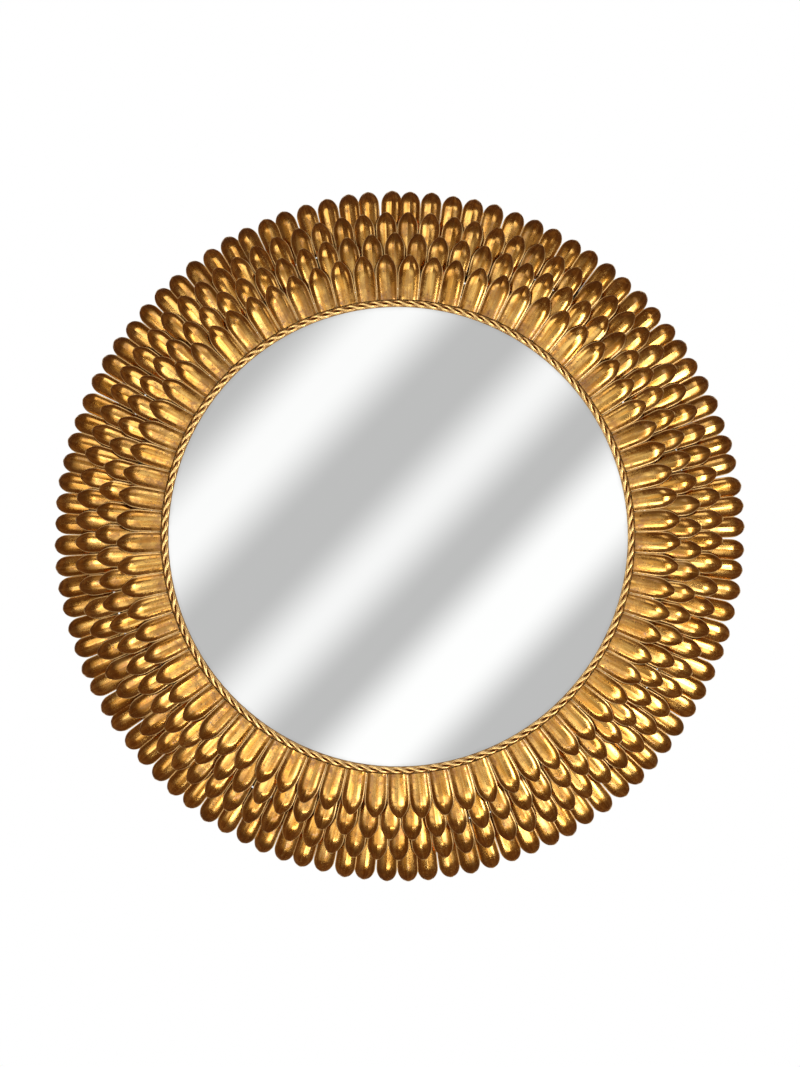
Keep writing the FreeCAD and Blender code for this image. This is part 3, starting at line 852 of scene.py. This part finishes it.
# --- Studio ----------------------------------------------------------------------------
@dataclass(frozen=True)
class StripLight:
    """One bright diagonal band of the screen behind the camera, measured across the bands."""

    middle: float
    flat: float
    fade: float
    level: float


@dataclass(frozen=True)
class Fade:
    """Change of the screen's brightness between two places, in metres."""

    start: float
    end: float
    before: float
    after: float

    def along(self, graph: Graph, place: Value) -> bpy.types.NodeSocket:
        """Returns the brightness at a place."""
        return graph.step(place, self.start, self.end, self.before, self.after)


@dataclass(frozen=True)
class Softbox:
    """Rectangular lamp aimed at the mirror; angles in degrees from straight in front."""

    name: str
    right: float
    above: float
    distance: float
    width: float
    height: float
    level: float


@dataclass
class Studio:
    """Camera, floor, lamps and what the metal and the glass reflect, in metres and degrees."""

    aim: Vector = field(default_factory=lambda: Vector((0.0015, -0.03, -0.2523)))
    camera_distance: float = 4.0
    camera_right: float = 1.2
    camera_above: float = 0.6
    seen_height: float = 0.9185
    ambient: float = 0.55
    floor_z: float = -1.85
    floor_radius: float = 1.1
    plate_y: float = -0.049
    screen_y: float = -4.4
    screen_z: float = -0.25
    screen_half: float = 2.5
    band_tilt: float = 43.5
    grey_level: float = 0.55
    band_base: float = 0.48
    strips: Sequence[StripLight] = (
        StripLight(middle=-0.1343, flat=0.006, fade=0.052, level=0.97),
        StripLight(middle=0.0, flat=0.0, fade=0.046, level=0.92),
        StripLight(middle=0.1136, flat=0.013, fade=0.043, level=1.0),
    )
    halo: Fade = Fade(start=0.55, end=0.85, before=0.0, after=0.36)
    outward: Fade = Fade(start=1.4, end=2.5, before=1.0, after=0.62)
    low_part: Fade = Fade(start=-1.3, end=-0.75, before=0.72, after=1.0)
    high_part: Fade = Fade(start=0.25, end=0.7, before=1.0, after=1.45)
    rightward: Fade = Fade(start=0.9, end=2.4, before=1.0, after=0.7)
    room_radius: float = 5.2
    room_opening: float = 0.78
    dim_low: Colour = (0.12, 0.062, 0.044)
    dim_high: Colour = (0.10, 0.052, 0.042)
    dim_patch: Colour = (0.19, 0.11, 0.065)
    pale_low: Colour = (0.62, 0.61, 0.60)
    pale_high: Colour = (0.88, 0.88, 0.88)
    # Name, right, above, distance, width, height, level.
    boxes: Sequence[Softbox] = (
        Softbox("lamp_left", -37.0, -6.0, 2.1, 0.8, 1.5, 2.0),
        Softbox("lamp_upper_left", -28.0, 44.0, 2.1, 1.3, 0.8, 1.8),
        Softbox("lamp_left_strip", -40.0, 6.0, 1.9, 0.12, 0.7, 6.0),
        Softbox("lamp_upper_right", 42.0, 40.0, 2.1, 0.4, 0.7, 1.5),
        Softbox("lamp_right_strip", 49.0, -3.0, 1.9, 0.45, 1.0, 10.0),
        Softbox("lamp_lower_right", 30.0, -30.0, 1.9, 0.7, 0.5, 4.0),
        Softbox("lamp_below", -2.0, -36.0, 1.9, 2.2, 0.5, 1.2),
        Softbox("lamp_below_strip", 4.0, -50.0, 1.8, 0.8, 0.16, 7.0),
    )

    def place(self, right: float, above: float, distance: float) -> Vector:
        """Point at a bearing and a distance from what the camera looks at."""
        turn, lift = math.radians(right), math.radians(above)
        away = Vector((math.sin(turn) * math.cos(lift), -math.cos(turn) * math.cos(lift),
                       math.sin(lift)))
        return self.aim + away * distance

    def camera_place(self) -> Vector:
        """Where the camera stands."""
        return self.place(self.camera_right, self.camera_above, self.camera_distance)

    def aimed(self, item: bpy.types.Object, at: Vector) -> None:
        """Stands an item at a point, turned to the mirror."""
        item.location = at
        item.rotation_mode = "QUATERNION"
        item.rotation_quaternion = (self.aim - at).to_track_quat("-Z", "Y")
        bpy.context.scene.collection.objects.link(item)

    def camera(self) -> None:
        """Makes the camera at the photograph's angle."""
        data = bpy.data.cameras.new("camera")
        data.sensor_width = 36.0
        data.lens = data.sensor_width * self.camera_distance / self.seen_height
        data.clip_end = 50.0
        camera = bpy.data.objects.new("camera", data)
        self.aimed(camera, self.camera_place())
        bpy.context.scene.camera = camera

    def lamps(self) -> None:
        """Makes the softboxes."""
        for box in self.boxes:
            data = bpy.data.lights.new(box.name, "AREA")
            data.shape = "RECTANGLE"
            data.size, data.size_y = box.width, box.height
            data.energy = box.level * math.pi * box.width * box.height
            lamp = bpy.data.objects.new(box.name, data)
            self.aimed(lamp, self.place(box.right, box.above, box.distance))

    def world(self) -> None:
        """White behind everything seen or reflected, and a plain light from all round."""
        world = bpy.data.worlds.new("studio")
        bpy.context.scene.world = world
        world.use_nodes = True
        graph = Graph(world.node_tree)
        sky = world.node_tree.nodes["Background"]
        path = graph.add("ShaderNodeLightPath").outputs
        seen = graph.math("MAXIMUM", path["Is Camera Ray"], path["Is Glossy Ray"])
        seen = graph.math("MAXIMUM", seen, path["Is Transmission Ray"])
        graph.feed(sky.inputs["Color"], graph.mix(seen, (self.ambient,) * 3, WHITE))

    def stage_piece(self, name: str, mesh_of: bmesh.types.BMesh, material: bpy.types.Material,
                    to_camera: bool) -> bpy.types.Object:
        """Makes a piece of the studio that isn't part of the mirror."""
        piece = new_piece(name, mesh_of, material)
        piece.visible_camera = to_camera
        return piece

    def floor(self) -> None:
        """Pale floor well below the mirror, which the metal doesn't reflect."""
        disc = bmesh.new()
        bmesh.ops.create_circle(disc, cap_ends=True, segments=96, radius=self.floor_radius)
        bmesh.ops.translate(disc, vec=(0, 0, self.floor_z), verts=disc.verts)
        finish = Fibre("studio_floor", body=(0.80, 0.79, 0.77), fleck=(0.84, 0.83, 0.81),
                       scale=300.0, depth=0.0002, roughness=0.72)
        self.stage_piece("floor", disc, finish.material(), True).visible_glossy = False

    @staticmethod
    def glowing(name: str) -> tuple[bpy.types.Material, Graph, bpy.types.NodeSocket,
                                    bpy.types.NodeSocket]:
        """Returns a material that only shines, its graph, its colour and its coordinates."""
        material = bpy.data.materials.new(name)
        material.use_nodes = True
        graph = Graph(material.node_tree)
        graph.tree.nodes.remove(material.node_tree.nodes["Principled BSDF"])
        shine = graph.add("ShaderNodeEmission")
        graph.feed(material.node_tree.nodes["Material Output"].inputs["Surface"], shine.outputs[0])
        place = graph.add("ShaderNodeTexCoord").outputs["Object"]
        material.cycles.emission_sampling = "NONE"
        return material, graph, shine.inputs["Color"], place

    def screen(self) -> None:
        """Grey screen behind the camera with diagonal strip lights, which the glass reflects.

        The bands are laid out on the glass as the camera sees them, and carried to the screen.
        """
        material, graph, colour, place = self.glowing("screen_bands")
        spot = graph.split(place)
        camera = self.camera_place()
        ratio = (self.plate_y - self.screen_y) / (self.plate_y - camera.y)
        glass_z = GLASS_MIDDLE_Z * MM
        across = graph.plus(spot["X"], camera.x * ratio)
        up = graph.plus(spot["Z"], camera.z * ratio - glass_z * (1 + ratio))
        tilt = math.radians(self.band_tilt)
        along = graph.minus(graph.times(across, math.cos(tilt) / (1 + ratio)),
                            graph.times(up, math.sin(tilt) / (1 + ratio)))
        level: Value = self.grey_level
        for strip in self.strips:
            away = graph.math("ABSOLUTE", graph.minus(along, strip.middle))
            glow = graph.step(away, strip.flat, strip.flat + strip.fade,
                              at_low=strip.level - self.band_base, at_high=0.0)
            level = graph.plus(level, glow)
        out = graph.hypot(spot["X"], graph.minus(spot["Z"], glass_z))
        level = graph.plus(level, self.halo.along(graph, out))
        for fade, where in ((self.outward, out), (self.low_part, spot["Z"]),
                            (self.high_part, spot["Z"]), (self.rightward, spot["X"])):
            level = graph.times(level, fade.along(graph, where))
        graph.feed(colour, level)
        card = bmesh.new()
        bmesh.ops.create_grid(card, x_segments=1, y_segments=1, size=self.screen_half)
        stand = Matrix.Translation((0, self.screen_y, self.screen_z)) @ UPRIGHT
        bmesh.ops.transform(card, matrix=stand, verts=card.verts)
        self.stage_piece("screen", card, material, False)

    def surround(self) -> None:
        """Room round the studio, open behind the mirror: dim to the metal, pale to the glass."""
        material, graph, colour, place = self.glowing("room_dim")
        spot = graph.split(place)
        dim = graph.mix(graph.step(spot["Z"], low=-3.0, high=2.0), self.dim_low, self.dim_high)
        patches = graph.step(graph.noise(place, 0.55, detail=2.0), low=0.42, high=0.62)
        dim = graph.mix(patches, dim, self.dim_patch)
        pale = graph.mix(graph.step(spot["Z"], low=-3.5, high=3.0), self.pale_low, self.pale_high)
        sharp = graph.add("ShaderNodeLightPath").outputs["Is Singular Ray"]
        graph.feed(colour, graph.mix(sharp, dim, pale))
        room = bmesh.new()
        bmesh.ops.create_uvsphere(room, u_segments=48, v_segments=24, radius=self.room_radius)
        behind = [face for face in room.faces
                  if face.calc_center_median().normalized().y > self.room_opening]
        bmesh.ops.delete(room, geom=behind, context="FACES")
        self.stage_piece("room", room, material, False)

    def build(self) -> None:
        """Builds the whole studio."""
        bpy.context.scene.view_settings.view_transform = "Standard"
        self.camera()
        self.world()
        self.lamps()
        self.floor()
        self.screen()
        self.surround()


# --- The mirror ------------------------------------------------------------------------
class PetalMirror:
    """The whole mirror: petals, rope and glass, and the CAD nodes that keep their shape."""

    seed = 73
    tiers = (
        PetalTier(number=1, count=73, first_angle=3.7, root=203.6, reach=39.4, crest=61.69,
                  root_width=17.02, full_width=18.81, point_length=17.5, tilt=6.0,
                  curl_radius=26.0, curl=42.0, tip_rounding=3.7, under_rope=0.6),
        PetalTier(number=2, count=81, first_angle=1.9, root=213.0, reach=49.0, crest=53.45,
                  root_width=12.6, full_width=18.20, point_length=17.0, tilt=8.0,
                  curl_radius=26.0, curl=45.0, tip_rounding=4.4),
        PetalTier(number=3, count=89, first_angle=3.2, root=232.0, reach=49.0, crest=43.52,
                  root_width=13.2, full_width=18.01, point_length=16.0, tilt=12.0,
                  curl_radius=25.0, curl=48.0, tip_rounding=4.8),
        PetalTier(number=4, count=100, first_angle=1.5, root=251.0, reach=49.0, crest=31.25,
                  root_width=15.0, full_width=17.44, point_length=14.5, tilt=16.0,
                  curl_radius=20.0, curl=60.0, tip_rounding=7.0, closer=0.9),
    )

    def __init__(self, frame: dict) -> None:
        """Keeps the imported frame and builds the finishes."""
        self.frame = frame
        self.finishes = Finishes()

    def settle(self, piece: bpy.types.Object, body: str, slot: str, *nodes: str) -> None:
        """Puts a piece on its body in place of CAD nodes, and reports it."""
        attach(piece, body)
        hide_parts(*nodes)
        LOG.info("%s rides on %s in place of %s", piece.name, body, ", ".join(nodes))

    def petals(self) -> None:
        """Builds the four rings of petals."""
        dice = random.Random(self.seed)
        for tier in self.tiers:
            self.settle(tier.build(self.finishes.petal, dice), "frame", "gilt_sheet",
                        "petals_tier_%d" % tier.number)

    def rope(self) -> None:
        """Builds both wires of the rope."""
        trim = RopeTrim()
        for letter, phase in (("a", 0.0), ("b", math.pi)):
            wire = trim.build(phase, "rope_wire_%s" % letter, self.finishes.rope)
            self.settle(wire, "frame", "gilt_wire", "rope_strand_%s" % letter)

    def glass(self) -> None:
        """Builds the mirror plate."""
        plate = MirrorPlate().build(self.finishes.glass)
        self.settle(plate, "frame", "mirror", "mirror_glass")

    def carried_over(self) -> None:
        """Dresses the CAD nodes that keep their shape."""
        finishes = self.finishes
        carrier = ["back_ring"] + numbered("petal_hoop", 4) + numbered("rib", 8)
        steel = ["turn_button_screws", "hanger_strap", "hanger_rivets", "hanger_ring"]
        for nodes, material in ((["bezel_ring"], finishes.bezel),
                                (["glass_packing"], finishes.felt),
                                (["backing_board"], finishes.board),
                                (carrier, finishes.carrier),
                                (numbered("wall_pad", 4), finishes.rubber),
                                (numbered("turn_button", 4), finishes.brass),
                                (steel, finishes.steel)):
            dress(nodes, material, self.frame)

    def build(self) -> None:
        """Builds and dresses every piece."""
        self.petals()
        self.rope()
        self.glass()
        self.carried_over()


def main() -> None:
    logging.basicConfig(level=logging.INFO, format="%(name)s: %(message)s")
    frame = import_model()
    Studio().build()
    PetalMirror(frame).build()
    bpy.context.view_layer.update()


if __name__ == "__main__":
    main()
